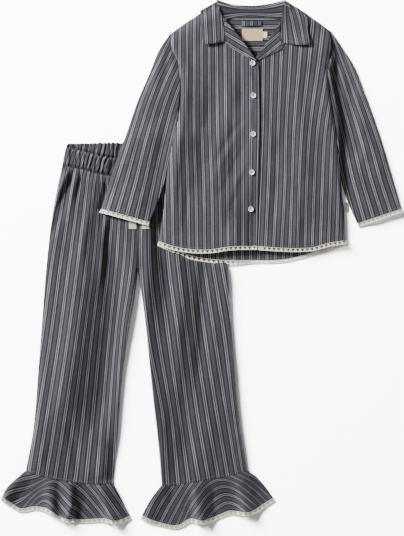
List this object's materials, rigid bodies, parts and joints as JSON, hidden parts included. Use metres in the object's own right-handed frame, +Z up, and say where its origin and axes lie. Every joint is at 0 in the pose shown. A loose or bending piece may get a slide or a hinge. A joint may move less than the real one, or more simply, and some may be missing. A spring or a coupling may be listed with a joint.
{
  "type": "pyjama set",
  "caption": "Child's pyjama set laid flat: striped cotton camp-collar shirt with buttoned placket, lying partly over drawstring trousers with flounced, lace-edged hems.",
  "frame": {"origin": "middle of the laid-out set's outline, on the surface that it lies on", "axes": "+Y towards the collar, along the set's length, +X to the wearer's left sleeve, +Z up from the surface"},
  "size_m": [0.8046, 1.0574, 0.0114],
  "materials": {
    "striped_cotton": "matte woven chambray with thin pale stripes",
    "cotton_lace": "matte cream cotton lace",
    "woven_tape": "matte off-white cotton tape",
    "woven_label": "satin tan woven label",
    "shell_button": "pearly white"
  },
  "bodies": {
    "root": {"back_yoke": "striped_cotton", "button_1": "shell_button", "button_2": "shell_button", "button_3": "shell_button", "button_4": "shell_button", "button_5": "shell_button", "collar_back": "striped_cotton", "collar_leaf_left": "striped_cotton", "collar_leaf_right": "striped_cotton", "flounce_back_left": "striped_cotton", "flounce_back_right": "striped_cotton", "flounce_front_left": "striped_cotton", "flounce_front_right": "striped_cotton", "hanging_loop": "striped_cotton", "lace_cuff_left": "cotton_lace", "lace_cuff_right": "cotton_lace", "lace_flounce_back_left": "cotton_lace", "lace_flounce_back_right": "cotton_lace", "lace_flounce_front_left": "cotton_lace", "lace_flounce_front_right": "cotton_lace", "lace_hem_back": "cotton_lace", "lace_hem_front_left": "cotton_lace", "lace_hem_front_right": "cotton_lace", "lapel_left": "striped_cotton", "lapel_right": "striped_cotton", "neck_label": "woven_label", "placket": "striped_cotton", "shirt_back": "striped_cotton", "shirt_front_left": "striped_cotton", "shirt_front_right": "striped_cotton", "side_label": "woven_label", "size_tab": "woven_label", "sleeve_left": "striped_cotton", "sleeve_right": "striped_cotton", "tie_left": "woven_tape", "tie_right": "woven_tape", "trousers_back_left": "striped_cotton", "trousers_back_right": "striped_cotton", "trousers_front_left": "striped_cotton", "trousers_front_right": "striped_cotton", "waistband_back": "striped_cotton", "waistband_front": "striped_cotton"}
  },
  "joints": []
}
